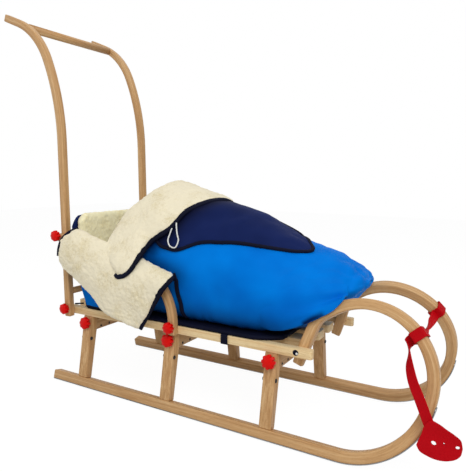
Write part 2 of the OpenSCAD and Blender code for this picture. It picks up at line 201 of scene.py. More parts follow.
def startMaterial(name, rough, specular=0.5, **more):
    m = bpy.data.materials.new(name)
    m.use_nodes = True
    shader = m.node_tree.nodes["Principled BSDF"]
    shader.inputs["Roughness"].default_value = rough
    shader.inputs["Specular IOR Level"].default_value = specular
    for key, value in more.items():
        shader.inputs[key.replace("_", " ")].default_value = value
    return m, m.node_tree, shader


def rampOf(tree, factor, stops):
    ramp = addNode(tree, "ShaderNodeValToRGB", {"Fac": factor})
    for i, (place, colour) in enumerate(stops):
        e = ramp.color_ramp.elements[i] if i < 2 else ramp.color_ramp.elements.new(place)
        e.position, e.color = place, colour
    return ramp.outputs["Color"]


def bumpTo(tree, shader, height, strength, distance):
    bump = addNode(tree, "ShaderNodeBump", {"Height": height, "Strength": strength, "Distance": distance})
    tree.links.new(bump.outputs["Normal"], shader.inputs["Normal"])


# one for rays that show the background: straight from the camera, mirrored or let through
def seenRays(tree):
    rays = addNode(tree, "ShaderNodeLightPath").outputs
    both = addNode(tree, "ShaderNodeMath", {0: rays["Is Camera Ray"], 1: rays["Is Glossy Ray"]}, operation="MAXIMUM")
    return addNode(tree, "ShaderNodeMath", {0: both.outputs[0], 1: rays["Is Transmission Ray"]},
                   operation="MAXIMUM").outputs[0]


# beech: grain drawn out along the piece, fine dark flecks, a lacquered surface
def woodMaterial(name, look):
    m, tree, shader = startMaterial(name, look["rough"], 0.2, Coat_Weight=look["coat"], Coat_Roughness=0.35)
    grain = addNode(tree, "ShaderNodeAttribute", attribute_name="grain").outputs["Vector"]
    drawn = addNode(tree, "ShaderNodeMapping", {"Vector": grain, "Scale": (5, 170, 170)}).outputs["Vector"]
    bands = addNode(tree, "ShaderNodeTexNoise", {"Vector": drawn, "Scale": 1, "Detail": 5, "Distortion": 0.6})
    fine = addNode(tree, "ShaderNodeMapping", {"Vector": grain, "Scale": (60, 1100, 1100)}).outputs["Vector"]
    flecks = addNode(tree, "ShaderNodeTexNoise", {"Vector": fine, "Scale": 1, "Detail": 2})
    base = rampOf(tree, bands.outputs["Fac"], [(0.32, look["dark"]), (0.68, look["light"]), (0.5, look["mid"])])
    fleck = rampOf(tree, flecks.outputs["Fac"], [(0.34, (0.72, 0.66, 0.6, 1)), (0.46, (1, 1, 1, 1))])
    mixed = addNode(tree, "ShaderNodeMix", data_type="RGBA", blend_type="MULTIPLY")
    mixed.inputs["Factor"].default_value = look["flecks"]
    tree.links.new(base, mixed.inputs["A"])
    tree.links.new(fleck, mixed.inputs["B"])
    tree.links.new(mixed.outputs["Result"], shader.inputs["Base Color"])
    bumpTo(tree, shader, flecks.outputs["Fac"], 0.12, 0.0004)
    return m


# plain coloured part with a faint mottle and bump of the given scale
def plainMaterial(name, colour, rough, scale=800, bump=0.05, specular=0.5, **more):
    m, tree, shader = startMaterial(name, rough, specular, **more)
    place = addNode(tree, "ShaderNodeTexCoord").outputs["Object"]
    grit = addNode(tree, "ShaderNodeTexNoise", {"Vector": place, "Scale": scale, "Detail": 3})
    shade = rampOf(tree, grit.outputs["Fac"], [(0.3, tuple(0.9 * c for c in colour[:3]) + (1,)), (0.7, colour)])
    tree.links.new(shade, shader.inputs["Base Color"])
    bumpTo(tree, shader, grit.outputs["Fac"], bump, 0.0005)
    return m


# woven cloth: two crossed waves as bump, broad soft mottle in the colour, and painted shade that mixes in the look's
# shadow colour where the shade attribute says
def clothMaterial(name, look):
    m, tree, shader = startMaterial(name, look["rough"], look["specular"], Sheen_Weight=look["sheen"],
                                    Sheen_Roughness=0.4)
    place = addNode(tree, "ShaderNodeTexCoord").outputs["Object"]
    broad = addNode(tree, "ShaderNodeTexNoise", {"Vector": place, "Scale": 9, "Detail": 2})
    colour = rampOf(tree, broad.outputs["Fac"], [(0.3, look["dark"]), (0.7, look["light"])])
    shade = addNode(tree, "ShaderNodeAttribute", attribute_name="shade").outputs["Fac"]
    mixed = addNode(tree, "ShaderNodeMix", data_type="RGBA")
    tree.links.new(shade, mixed.inputs["Factor"])
    tree.links.new(colour, mixed.inputs["A"])
    mixed.inputs["B"].default_value = look["paintedShadow"]
    tree.links.new(mixed.outputs["Result"], shader.inputs["Base Color"])
    waves = [addNode(tree, "ShaderNodeTexWave", {"Vector": place, "Scale": look["threads"]}, bands_direction=d)
             for d in ("X", "Z")]
    weave = addNode(tree, "ShaderNodeMath", operation="MULTIPLY")
    for i, w in enumerate(waves):
        tree.links.new(w.outputs["Fac"], weave.inputs[i])
    bumpTo(tree, shader, weave.outputs["Value"], look["bump"], 0.0003)
    return m


# curly pile: cream, darker and yellower in the hollows between the tufts where the bump is low (painted shade) and in
# a broad mottle; no shine
def fleeceMaterial(name, look):
    m, tree, shader = startMaterial(name, 1.0, 0.05, Sheen_Weight=0.25, Sheen_Roughness=0.6)
    place = addNode(tree, "ShaderNodeTexCoord").outputs["Object"]
    tufts = addNode(tree, "ShaderNodeTexNoise", {"Vector": place, "Scale": 190, "Detail": 4, "Roughness": 0.65,
                                                 "Distortion": 0.8})
    broad = addNode(tree, "ShaderNodeTexNoise", {"Vector": place, "Scale": 22, "Detail": 3})
    both = addNode(tree, "ShaderNodeMath", {0: tufts.outputs["Fac"], 1: broad.outputs["Fac"]}, operation="ADD")
    colour = rampOf(tree, both.outputs["Value"], [(0.62, look["hollowShade"]), (1.0, look["tip"])])
    tree.links.new(colour, shader.inputs["Base Color"])
    bumpTo(tree, shader, tufts.outputs["Fac"], 0.5, 0.0016)
    return m


woodLook = {"light": tone(218, 180, 131), "mid": tone(203, 160, 110), "dark": tone(184, 139, 91),
            "rough": 0.5, "coat": 0.06, "flecks": 0.6}
slatLook = {"light": tone(246, 222, 176), "mid": tone(238, 210, 160), "dark": tone(224, 189, 136),
            "rough": 0.5, "coat": 0.06, "flecks": 0.6}
# the last colour of each cloth look is painted shadow, mixed in where the shade attribute says
satinLook = {"light": tone(0, 128, 229), "dark": tone(0, 106, 204), "rough": 0.5, "specular": 0.02, "sheen": 0.0,
             "threads": 900, "bump": 0.08, "paintedShadow": tone(4, 14, 58)}
navyLook = {"light": tone(26, 40, 92), "dark": tone(18, 30, 74), "rough": 0.6, "specular": 0.03, "sheen": 0.0,
            "threads": 700, "bump": 0.12, "paintedShadow": tone(8, 10, 30)}
tapeLook = {"light": tone(13, 16, 38), "dark": tone(8, 10, 26), "rough": 0.7, "specular": 0.08, "sheen": 0.0,
            "threads": 500, "bump": 0.2, "paintedShadow": tone(8, 10, 26)}
webLook = {"light": tone(196, 4, 20), "dark": tone(178, 0, 12), "rough": 0.6, "specular": 0.08, "sheen": 0.0,
           "threads": 330, "bump": 0.5, "paintedShadow": tone(184, 2, 16)}
fleeceLook = {"tip": tone(243, 233, 204), "hollowShade": tone(221, 206, 164)}
# the back pad's fleece is a brighter, yellower copy: painted light lifting it out of the shade it sits in, and a
# yellower tone
backLitLook = {"tip": tone(255, 248, 208), "hollowShade": tone(242, 227, 172)}

wood = woodMaterial("beech", woodLook)
slatWood = woodMaterial("slat beech", slatLook)
steel = plainMaterial("steel", tone(150, 152, 154), 0.35, 300, 0.05, Metallic=1.0)
knobRed = plainMaterial("knob plastic", tone(226, 12, 6), 0.34, 500, 0.03, 0.12)
satin = clothMaterial("satin", satinLook)
navy = clothMaterial("navy cloth", navyLook)
tape = clothMaterial("binding tape", tapeLook)
webbing = clothMaterial("webbing", webLook)
fleece = fleeceMaterial("fleece", fleeceLook)
backFleeceLit = fleeceMaterial("back fleece lit", backLitLook)
darkSteel = plainMaterial("dark steel", tone(52, 46, 42), 0.45, 300, 0.05, Metallic=0.6)
cordWhite = plainMaterial("cord white", tone(232, 232, 228), 0.8, 900, 0.3)
print("materials ready")


# Wooden frame: grain along every piece, rounded edges

horn = {"rear": (-0.404, 0.18, 0.0058), "lean": math.radians(14), "middle": 0.012, "depth": 0.013,
        "path": [(0.795, 0.167, 90), (0, 0.134, 90), (0, 0.125, 32), (0.026, 0.05, 40), (0.09, 0, 0)]}
handle = {"foot": (-0.358, 0.156, 0.182), "path": [(0.462, 0.56, 22), (0, 0.19, 45), (0.052, 0, 0)]}
rail = {"foot": (-0.017, 0.164, 0.187), "path": [(0.025, 0.14, 79), (0.246, 0, 0)]}


# middle line of a bent bar in its own plane: each stretch runs straight, then turns on its radius
def bendLine(path, step=0.004):
    points, at, way = [np.zeros((1, 2))], np.zeros(2), 0.0
    for run, r, turn in path:
        ahead = np.array([math.cos(way), math.sin(way)])
        if run:
            points.append(at + np.linspace(0, run, int(run / step) + 2)[1:, None] * ahead)
            at = at + run * ahead
        if turn:
            a = way + np.radians(np.linspace(0, turn, int(turn) + 2)[1:])
            centre = at + r * np.array([-math.sin(way), math.cos(way)])
            points.append(centre + r * np.stack([np.sin(a), -np.cos(a)], 1))
            at, way = points[-1][-1], way + math.radians(turn)
    return np.concatenate(points)


# place and direction of the horn's middle line, right side
def hornLine():
    u, s = bendLine(horn["path"]).T
    s = s + horn["depth"]
    x, y, z = horn["rear"]
    up, out = math.cos(horn["lean"]), math.sin(horn["lean"])
    return np.stack([x + u, -y + out * s + up * horn["middle"], z + up * s - out * horn["middle"]], 1)


def handleLine():
    u, v = bendLine(handle["path"]).T
    x, y, z = handle["foot"]
    lean = math.radians(1.2)
    return np.stack([x - v * math.cos(lean) - u * math.sin(lean), 0 * u - y,
                     z + u * math.cos(lean) - v * math.sin(lean)], 1)


def railLine():
    u, v = bendLine(rail["path"]).T
    x, y, z = rail["foot"]
    return np.stack([x - v, 0 * u - y - 0.053 * v, z + u], 1)


# grain place of each vertex: length along the nearest point of the line, then the offsets across it
def setGrain(node, line, shift):
    mesh = nodes[node].data
    p = np.empty(len(mesh.vertices) * 3, np.float32)
    mesh.vertices.foreach_get("co", p)
    p = p.reshape(-1, 3).astype(float)
    length = np.concatenate([[0], np.cumsum(np.linalg.norm(np.diff(line, axis=0), axis=1))])
    near = np.argmin(((p[:, None] - line[None]) ** 2).sum(2), axis=1)
    tangent = np.gradient(line, axis=0)[near]
    tangent /= np.linalg.norm(tangent, axis=1, keepdims=True)
    off = p - line[near]
    more = (off * tangent).sum(1)
    side = np.cross(tangent, [0.0, 0.0, 1.0]) if np.ptp(line[:, 1]) > 0.2 else np.tile([0.0, 1.0, 0.0], (len(p), 1))
    over = np.cross(tangent, side)
    grain = np.stack([length[near] + more + shift, (off * side).sum(1) + shift, (off * over).sum(1)], 1)
    mesh.attributes.new("grain", "FLOAT_VECTOR", "POINT").data.foreach_set("vector", grain.astype(np.float32).ravel())


def straightLine(node, axis):
    low, high = (np.array(v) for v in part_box(node))
    a, b = (low + high) / 2, (low + high) / 2
    a[axis], b[axis] = low[axis], high[axis]
    return a + np.linspace(0, 1, 60)[:, None] * (b - a)


# joins the mesh, rounds its edges and gives it one material
def dress(node, material, radius, segments=3):
    piece = nodes[node]
    piece.data.materials.clear()
    piece.data.materials.append(material)
    piece.data.polygons.foreach_set("use_smooth", np.ones(len(piece.data.polygons), bool))
    weld = piece.modifiers.new("weld", "WELD")
    weld.merge_threshold = 2e-5
    if radius:
        bevel = piece.modifiers.new("bevel", "BEVEL")
        bevel.width, bevel.segments, bevel.harden_normals = radius, segments, True
        bevel.limit_method, bevel.angle_limit = "ANGLE", math.radians(35)


bentLines = {"runner": hornLine(), "upright": handleLine(), "arm": railLine()}
grainAxis = {"slat": 0, "leg": 2, "crossbar": 1, "grip": 1, "rung": 1}
edgeRadius = {"runner": 0.0025, "upright": 0.003, "arm": 0.003, "slat": 0.0025, "leg": 0.0025, "crossbar": 0.0025,
              "grip": 0.0, "rung": 0.0}
for i, name in enumerate(sorted(nodes)):
    kind = name.split("_")[0]
    if kind in bentLines:
        mirror = np.array([1, -sides[name.split("_")[1]], 1])
        setGrain(name, bentLines[kind] * mirror, 1.7 * i)
        dress(name, wood, edgeRadius[kind])
    elif kind in grainAxis:
        setGrain(name, straightLine(name, grainAxis[kind]), 1.7 * i)
        isSlat = kind == "slat"
        dress(name, slatWood if isSlat else wood, edgeRadius[kind])
    elif kind == "knob":
        dress(name, knobRed, 0.0012, 2)
    elif kind == "strip":
        dress(name, steel, 0.0)
print("wooden frame dressed")


# Foot-muff

muff = {"rim": -0.234, "front": 0.401, "middle": 0.36,
        "half": [(-0.26, 0.135), (-0.1, 0.143), (0.06, 0.146), (0.18, 0.144), (0.236, 0.138), (0.276, 0.128),
                 (0.316, 0.116), (0.35, 0.1), (0.376, 0.078), (0.392, 0.054), (0.401, 0.012)],
        "low": [(-0.26, 0.212), (0.16, 0.212), (0.21, 0.212), (0.24, 0.214), (0.276, 0.226), (0.316, 0.25),
                (0.35, 0.275), (0.376, 0.299), (0.392, 0.318), (0.401, 0.332)],
        "narrow": [(-0.26, 0), (0.16, 0), (0.2, 0.01), (0.236, 0.14), (0.276, 0.3), (0.316, 0.42), (0.35, 0.36),
                   (0.376, 0.2), (0.401, 0)],
        "high": [(-0.26, 0.505), (-0.17, 0.506), (-0.1, 0.502), (-0.02, 0.495), (0.06, 0.484), (0.12, 0.47),
                 (0.18, 0.446), (0.236, 0.418), (0.276, 0.403), (0.316, 0.389), (0.35, 0.376), (0.376, 0.362),
                 (0.392, 0.35), (0.401, 0.338)],
        "slope": [(-0.26, 0.085), (-0.1, 0.04), (-0.02, 0.02), (0.06, 0.006), (0.12, 0), (0.401, 0)]}


# place x along the sled and angle a round the muff: flat below, crowned above, leaning back at the rim,
# its bottom drawn in towards the nose so that it passes between the horns
def muffPoint(x, a, inset=0.0):
    w = curveThrough(x, muff["half"]) - inset
    low = curveThrough(x, muff["low"]) + inset
    high = curveThrough(x, muff["high"]) - inset
    mid = low + muff["middle"] * (high - low)
    c, q = np.cos(a), np.sin(a)
    above = q > 0
    drawn = np.where(above, 0, curveThrough(x, muff["narrow"]) * np.sqrt(np.abs(q)))
    square = np.clip((0.2 - x) / 0.1, 0, 1)
    y = w * np.sign(c) * np.abs(c) ** np.where(above, 0.9, 0.6 - 0.14 * square) * (1 - drawn)
    rise = np.sign(q) * np.abs(q) ** np.where(above, 1.12, 0.5 - 0.08 * square)
    z = mid + np.where(above, high - mid, mid - low) * rise
    return np.stack([x + curveThrough(x, muff["slope"]) * q, y, z], -1)


# outward normal of the muff from small steps along and round it
def muffNormal(x, a):
    e = 1e-3
    n = np.cross(muffPoint(x, a + e) - muffPoint(x, a - e), muffPoint(x + e, a) - muffPoint(x - e, a))
    return n / np.maximum(np.linalg.norm(n, axis=-1, keepdims=True), 1e-12)


# soft folds of the satin: broad swells, gathers above the base, slanting creases and puckers towards the nose
def muffFolds(p):
    flat = p.reshape(-1, 3)
    x, y, z = flat.T
    swell = 0.0042 * lumps(flat, 0.075, 3) + 0.0014 * lumps(flat, 0.03, 4)
    wander = lumps(flat, 0.04, 5)
    gathers = 0.0009 * (1 + wander) * np.exp(-((z - 0.225) / 0.022) ** 2) * np.sin(x / 0.0055 + 5 * wander)
    slanted = np.stack([0.3 * (x + 0.5 * z), 0.6 * y, z - 0.5 * x], 1)
    creases = 0.0036 * np.abs(lumps(slanted, 0.022, 7)) * (0.3 + 0.7 * np.clip((x - 0.18) / 0.12, 0, 1))
    puckers = 0.003 * np.clip((x - 0.3) / 0.08, 0, 1) * lumps(flat, 0.018, 6)
    return (swell + gathers + creases + puckers).reshape(p.shape[:-1])


def makeMuff():
    rows, around = 210, 200
    x = muff["rim"] + (muff["front"] - muff["rim"]) * np.sin(np.linspace(0, np.pi / 2, rows))
    a = np.linspace(0, 2 * np.pi, around, endpoint=False)
    xs, angles = np.meshgrid(x, a, indexing="ij")
    outer = muffPoint(xs, angles)
    outer = outer + muffNormal(xs, angles) * muffFolds(outer)[..., None]
    inner = muffPoint(xs[: rows - 32], angles[: rows - 32], 0.009)
    p = np.concatenate([outer[::-1], inner])
    number = np.arange(p.shape[0] * around).reshape(p.shape[0], around)
    faces = gridFaces(np.concatenate([number, number[:, :1]], 1))[:, ::-1]
    ends = [list(number[0]), list(number[-1][::-1])]
    piece = makePiece("muffBody", p, [list(f) for f in faces] + ends, satin)
    piece.data.materials.append(fleece)
    kind = np.zeros(len(piece.data.polygons), np.int32)
    kind[rows * around:len(faces)] = 1
    middle = p.reshape(-1, 3)[faces].mean(1)
    turned = (middle[:, 0] < -0.11) & (middle[:, 2] > np.where(middle[:, 1] > 0.02, 0.35, 0.45))
    kind[:len(faces)][turned] = 1
    kind[-1] = 1
    piece.data.polygons.foreach_set("material_index", kind)
    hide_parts("muff_body")
    return piece


muffBody = makeMuff()

# satin hanging from the side of the muff over the root of each horn: its lower edge, millimetres
drape = {"half": 0.0022, "bulge": 0.006,
         "edge": [(190, -128, 238), (225, -133, 232), (250, -133, 235), (272, -131, 242), (293, -128, 251),
                  (314, -126, 262), (334, -123, 274), (347, -121, 282), (360, -118, 292), (371, -114, 306),
                  (379, -110, 318)]}


# grid from three lines on the muff, over a bulging belly, down to the edge; its rear end sinks into the muff
def makeDrape(side, sign):
    hem = np.array(drape["edge"]) / 1000
    x = hem[:, 0] - 0.004
    sunk = np.interp(np.arange(len(x)), [0, 1, 2, 3], [0.012, 0.007, 0.002, 0])[:, None]
    lines = []
    for angle, out in ((146, -0.004), (166, 0.0005), (180, 0.003)):
        a = np.radians(angle) + 0 * x
        lines.append(muffPoint(x, a) + (out - sunk) * muffNormal(x, a))
    belly = (lines[-1] + hem) / 2 + drape["bulge"] * np.array([0, -1, 0.25])
    p = smoothGrid(np.stack([*lines, belly, hem], 1), 130, 70)
    p = (p + gridNormals(p) * -muffFolds(p)[..., None] * 0.6) * np.array([1, -sign, 1])
    piece = pillow("muffDrape." + side, p, drape["half"], 0.005, satin)
    return piece


drapes = [makeDrape(side, sign) for side, sign in sides.items()]

# black base under the muff: a flat pad on the slats with round edges; its black is partly the binding at the foot of
# the muff, partly painted shadow of the muff's underside
base = {"from": -0.31, "to": 0.252, "half": 0.1475, "low": 0.2073, "high": 0.2175}
u, v = np.meshgrid(np.linspace(0, 1, 80), np.linspace(-1, 1, 60), indexing="ij")
taper = np.sqrt(1 - np.clip((u - 0.86) / 0.14, 0, 1) ** 2 * 0.5)
basePoints = np.stack([base["from"] + (base["to"] - base["from"]) * u, base["half"] * v * taper,
                       0 * u + (base["low"] + base["high"]) / 2], -1)
basePad = pillow("muffBase", basePoints, (base["high"] - base["low"]) / 2, 0.006, tape)

# navy panel on the top: polar grid inside its outline (place, angle in degrees), puffed towards the middle
panel = {"centre": (0.1, 112), "puff": 0.007,
         "outline": [(-0.098, 151.5), (-0.06, 154.5), (-0.033, 154.7), (-0.01, 152.2), (0.033, 145.6), (0.1, 139.9),
                     (0.171, 132.4), (0.234, 121.7), (0.266, 114), (0.281, 106), (0.272, 97), (0.235, 82),
                     (0.202, 77), (0.15, 72), (0.06, 70), (-0.04, 66), (-0.12, 70), (-0.16, 90), (-0.17, 112),
                     (-0.155, 135)]}


def closedLine(points, count):
    p = np.array(points, float)
    turns = np.concatenate([p[-3:], p, p[:4]])
    s = np.arange(-3, len(p) + 4)
    at = np.linspace(0, len(p), count, endpoint=False)
    return np.stack([curveThrough(at, np.stack([s, turns[:, k]], 1)) for k in range(2)], 1)


def makePanel():
    rim = closedLine(panel["outline"], 220)
    centre = np.array(panel["centre"])
    r = np.linspace(1e-3, 1, 60)[:, None, None]
    at = centre + r * (rim - centre)[None]
    x, a = at[..., 0], np.radians(at[..., 1])
    p = muffPoint(x, a)
    n = muffNormal(x, a)
    rise = 0.0015 + panel["puff"] * np.sqrt(np.clip(1 - r[..., 0] ** 3, 0, 1))
    folds = 0.0016 * lumps(p.reshape(-1, 3), 0.045, 9).reshape(p.shape[:2])
    top = p + n * (rise + muffFolds(p) + folds * (1 - r[..., 0] ** 4))[..., None]
    bottom = (p - n * 0.004)[::-4]
    p = np.concatenate([top, bottom])
    number = np.arange(p.shape[0] * 220).reshape(p.shape[0], 220)
    faces = gridFaces(np.concatenate([number, number[:, :1]], 1))
    ends = [list(number[0]), list(number[-1][::-1])]
    piece = makePiece("muffPanel", p, [list(f) for f in faces] + ends, navy)
    line = np.concatenate([top[-1], top[-1][:2]]) + np.concatenate([n[-1], n[-1][:2]]) * 0.0012
    sweep("muffPiping", line, np.concatenate([n[-1], n[-1][:2]]), outlineOf(0.0062, 0.009, 2, 10), tape)
    return piece


muffPanel = makePanel()

# black seam down the side of the muff in front of the arm, both sides
seam = {"places": [(-0.024, 173), (-0.011, 180), (0, 187), (0.008, 206), (0.014, 222)], "width": 0.011}
for side, sign in sides.items():
    at = smoothLine(seam["places"], 60)
    x, a = at[:, 0], np.radians(at[:, 1])
    mirror = np.array([1, -sign, 1])
    n = muffNormal(x, a)
    line = (muffPoint(x, a) + n * 0.0025) * mirror
    sweep("muffSeam." + side, line, np.cross(np.gradient(line, axis=0), n * mirror),
          outlineOf(seam["width"], 0.004, 3, 16), tape)
print("muff body and panel made")


# Fleece collar: rows from the right tip over the top to the left, columns inside, fold, middle, edge; millimetres
collar = {"half": 0.008, "tufts": [(0.0010, 0.008), (0.0008, 0.0045)],
          "rows": [[(-196, -128, 352), (-216, -150, 382), (-185, -186, 354), (-143, -199, 320)],
                   [(-193, -116, 368), (-214, -136, 400), (-160, -174, 370), (-117, -196, 333)],
                   [(-190, -104, 384), (-211, -122, 419), (-146, -158, 388), (-106, -181, 357)],
                   [(-178, -84, 416), (-200, -98, 455), (-132, -124, 434), (-96, -136, 403)],
                   [(-154, -58, 446), (-175, -68, 485), (-114, -96, 476), (-54, -122, 431)],
                   [(-136, -40, 470), (-155, -46, 508), (-98, -60, 500), (-27, -88, 473)],
                   [(-120, -8, 490), (-140, -10, 527), (-84, -30, 516), (-2, -55, 491)],
                   [(-110, 24, 496), (-130, 28, 534), (-66, 8, 523), (14, -27, 498)],
                   [(-104, 54, 486), (-122, 62, 524), (-52, 48, 513), (24, 14, 498)],
                   [(-110, 86, 446), (-128, 98, 488), (-64, 92, 482), (22, 62, 480)],
                   [(-126, 104, 388), (-145, 122, 430), (-84, 122, 430), (0, 110, 438)],
                   [(-146, 114, 326), (-165, 138, 366), (-110, 142, 364), (-40, 140, 372)]]}


def makeCollar():
    p = smoothGrid(np.array(collar["rows"]) / 1000, 190, 120)
    piece = pillow("muffCollar", p, collar["half"], 0.012, fleece)
    fluff(piece, [(0.003, 0.05)] + collar["tufts"], 21)
    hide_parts("muff_collar")
    rim = smoothLine(np.concatenate([p[0, 112:-3:4], p[3::5, -1]]), 220)
    within = smoothLine(np.concatenate([p[8, 106:-9:4], p[10::5, -8]]), 220)
    # the binding is swept 18 mm wide, wider than the tape, so that its black also paints the shadow under the
    # collar's edge
    sweep("collarBindingAndShadow", rim, rim - within, outlineOf(0.018, 0.01, 2.4, 14), tape)
    return p[::4, -1]


underCollar = makeCollar()

# Fleece side flap over each arm: columns from rear to front with crest and lower end; millimetres
flap = {"half": 0.0065, "tufts": [(0.0010, 0.008), (0.0008, 0.0045)],
        "columns": [((-342, -192, 386), (-348, -194, 346)), ((-327, -184, 399), (-329, -195, 320)),
                    ((-313, -171, 409), (-296, -195, 299)), ((-258, -168, 397), (-240, -195, 262)),
                    ((-204, -165, 383), (-198, -193, 228)), ((-137, -163, 367), (-138, -190, 206)),
                    ((-70, -164, 344), (-112, -186, 199)), ((-4, -176, 327), (-93, -184, 197))],
        "rear": [(-312, -162, 417), (-328, -169, 411), (-337, -177, 403), (-343, -185, 392), (-346, -190, 380),
                 (-348, -193, 366), (-349, -194, 350)]}


def makeFlap(side, sign):
    control = []
    for (x, y, z), (lx, ly, lz) in flap["columns"]:
        rear = np.clip((-x - 315) / 20, 0, 1)  # the rear corner hangs outside the handle
        tuck = np.clip((x + 110) / 100, 0, 1)  # the front corner is drawn in under itself
        inner = (x + 2 - 36 * tuck, y + 34 * (1 - rear), z - (40 - 30 * tuck) * (1 - rear) + 4 * rear)
        shoulder = (0.88 * x + 0.12 * lx, min(y - 15 + 13 * rear, -184), 0.86 * z + 0.14 * lz)
        middle = (0.5 * x + 0.5 * lx, ly - 5, 0.5 * z + 0.5 * lz)
        control.append([inner, (x, y, z), shoulder, middle, (lx, ly, lz)])
    p = smoothGrid(np.array(control) / 1000, 170, 130) * np.array([1, -sign, 1])
    piece = pillow("sideFlap." + side, p, flap["half"], 0.01, fleece)
    fluff(piece, [(0.004, 0.06)] + flap["tufts"], 31)
    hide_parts("side_flap_" + side)
    rear = np.array(flap["rear"]) / 1000 * np.array([1, -sign, 1])
    for end, line in (("front", p[-1, 28::5]), ("rear", rear)):
        rim = smoothLine(line, 120)
        sweep("flapBinding." + end + "." + side, rim, rim - p[85, 76], outlineOf(0.015, 0.008, 2.4, 12), tape)
    return np.concatenate([p[100::5, 26], p[-1, 28::5]])


# painted shade on the cloth: darker towards the base and behind the seam, and round the given points, where it falls
# off with the square of the distance over each one's reach
def shadeUnder(piece, points, reach):
    mesh = piece.data
    p = np.empty(len(mesh.vertices) * 3, np.float32)
    mesh.vertices.foreach_get("co", p)
    p = p.reshape(-1, 3)
    x, y, z = p.T
    # painted shade towards the base, fading out towards the nose
    low = 0.88 * np.exp(-((z - 0.21) / 0.055) ** 2) * (0.15 + 0.85 * np.clip((0.33 - x) / 0.12, 0, 1))
    # painted shade behind the seam, low down under the arm and flap
    behind = 0.5 * np.clip((-0.008 - x) / 0.02, 0, 1) * np.clip((0.34 - z) / 0.04, 0, 1)
    shade = np.maximum(low, behind)
    for q, r in zip(points, reach):
        shade = np.maximum(shade, np.exp(-((p - q) ** 2).sum(1) / r**2))
    mesh.attributes.new("shade", "FLOAT", "POINT").data.foreach_set("value", shade.astype(np.float32))


underFlaps = np.concatenate([makeFlap(side, sign) for side, sign in sides.items()])
# painted shadow of a small crease near the hem: a short line of points with a small reach
creaseShadow = smoothLine([(0.303, -0.131, 0.2585), (0.32, -0.13, 0.2705), (0.336, -0.128, 0.2785)], 14)
shadePoints = np.concatenate([underCollar, underFlaps, creaseShadow])
shadeReach = np.repeat([0.036, 0.028, 0.007], [len(underCollar), len(underFlaps), len(creaseShadow)])
# painted shade on the satin and navy: under the collar's edge, along the flaps' crest and front edge, and at the
# crease
for piece in (muffBody, muffPanel, *drapes):
    shadeUnder(piece, shadePoints, shadeReach)

# back pad: fleece in front, navy cloth behind it and round its sides
back = {"half": 0.137, "low": 0.208, "high": 0.458, "face": -0.325, "thick": 0.02,
        "narrow": [(0, 0.74), (0.2, 0.8), (0.35, 0.85), (0.5, 0.95), (0.65, 1), (1, 1)]}
u, v = np.meshgrid(np.linspace(-1, 1, 130), np.linspace(0, 1, 112), indexing="ij")
corner = np.clip((np.abs(u) - 0.82) / 0.18, 0, 1)
top = back["high"] - 0.028 * corner**2
backPoints = np.stack([back["face"] - 0.004 * v - 0.01, back["half"] * u * curveThrough(v, back["narrow"]),
                       back["low"] + (top - back["low"]) * v], -1)
# the back pad's fleece is the brighter copy, with painted light
backPad = pillow("backLining", backPoints + np.array([0.003, 0, 0]), back["thick"] / 2, 0.014, backFleeceLit)
fluff(backPad, [(0.002, 0.05), (0.001, 0.008), (0.0008, 0.0045)], 41)
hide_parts("muff_back")
backWide = backPoints[::3, ::3] * np.array([1, 1.085, 1]) - np.array([0.01, 0, 0.007])
backCloth = pillow("backCloth", backWide, 0.003, 0.005, navy)

# sides of the muff between its rim and the back pad: satin outside, fleece inside; rows from the rear, millimetres
wing = {"rows": [[(-309, -141, 213), (-324, -142, 250), (-340, -140, 384)],
                 [(-268, -141, 213), (-278, -144, 280), (-266, -139, 376)],
                 [(-226, -139, 213), (-216, -143, 300), (-186, -137, 362)]]}
for side, sign in sides.items():
    p = smoothGrid(np.array(wing["rows"]) / 1000, 48, 60) * np.array([1, -sign, 1])
    cloth = pillow("muffWing." + side, p, 0.003, 0.006, satin)
    fluff(cloth, [(0.0025, 0.04)], 51)
    lining = pillow("wingLining." + side, p[10:] + np.array([0, 0.007 * -sign, 0]), 0.004, 0.006, fleece)
    fluff(lining, [(0.0016, 0.009)], 52)

# fleece on the seat behind the rim
seat = {"from": -0.322, "to": -0.19, "half": 0.134, "middle": 0.222, "thick": 0.009}
u, v = np.meshgrid(np.linspace(0, 1, 52), np.linspace(-1, 1, 90), indexing="ij")
seatPoints = np.stack([seat["from"] + (seat["to"] - seat["from"]) * u, seat["half"] * v, 0 * u + seat["middle"]], -1)
seatLining = pillow("seatLining", seatPoints, seat["thick"] / 2, 0.008, fleece)
fluff(seatLining, [(0.002, 0.04), (0.0014, 0.009)], 53)
print("fleece made")


# Pull strap

strap = {"width": 0.021, "thick": 0.0022, "turn": 42,
         "right": [(519, -102, 255), (512, -106, 254), (507, -108, 247), (511, -126, 237), (516, -146, 222),
                   (526, -160, 195), (542, -169, 165), (556, -172, 134), (561, -172, 122)],
         "left": [(524, 88, 260.6), (524, 76, 257.4), (521, 40, 250), (519, 0, 247), (521, -40, 250),
                  (524, -76, 257.4), (524, -88, 260.6)]}


# webbing laid along its route, its width turning from one given direction to the next
def makeStrap(side, turns):
    route = smoothLine(np.array(strap[side]) / 1000, 240)
    turns = np.array(turns, float)
    at = np.linspace(0, 1, 240)
    wide = np.stack([curveThrough(at, np.stack([turns[:, 0], turns[:, k]], 1)) for k in (1, 2, 3)], 1)
    piece = sweep("strap." + side, route, wide, outlineOf(strap["width"], strap["thick"], 5, 20), webbing)
    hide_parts("strap_" + side)
    return piece, route


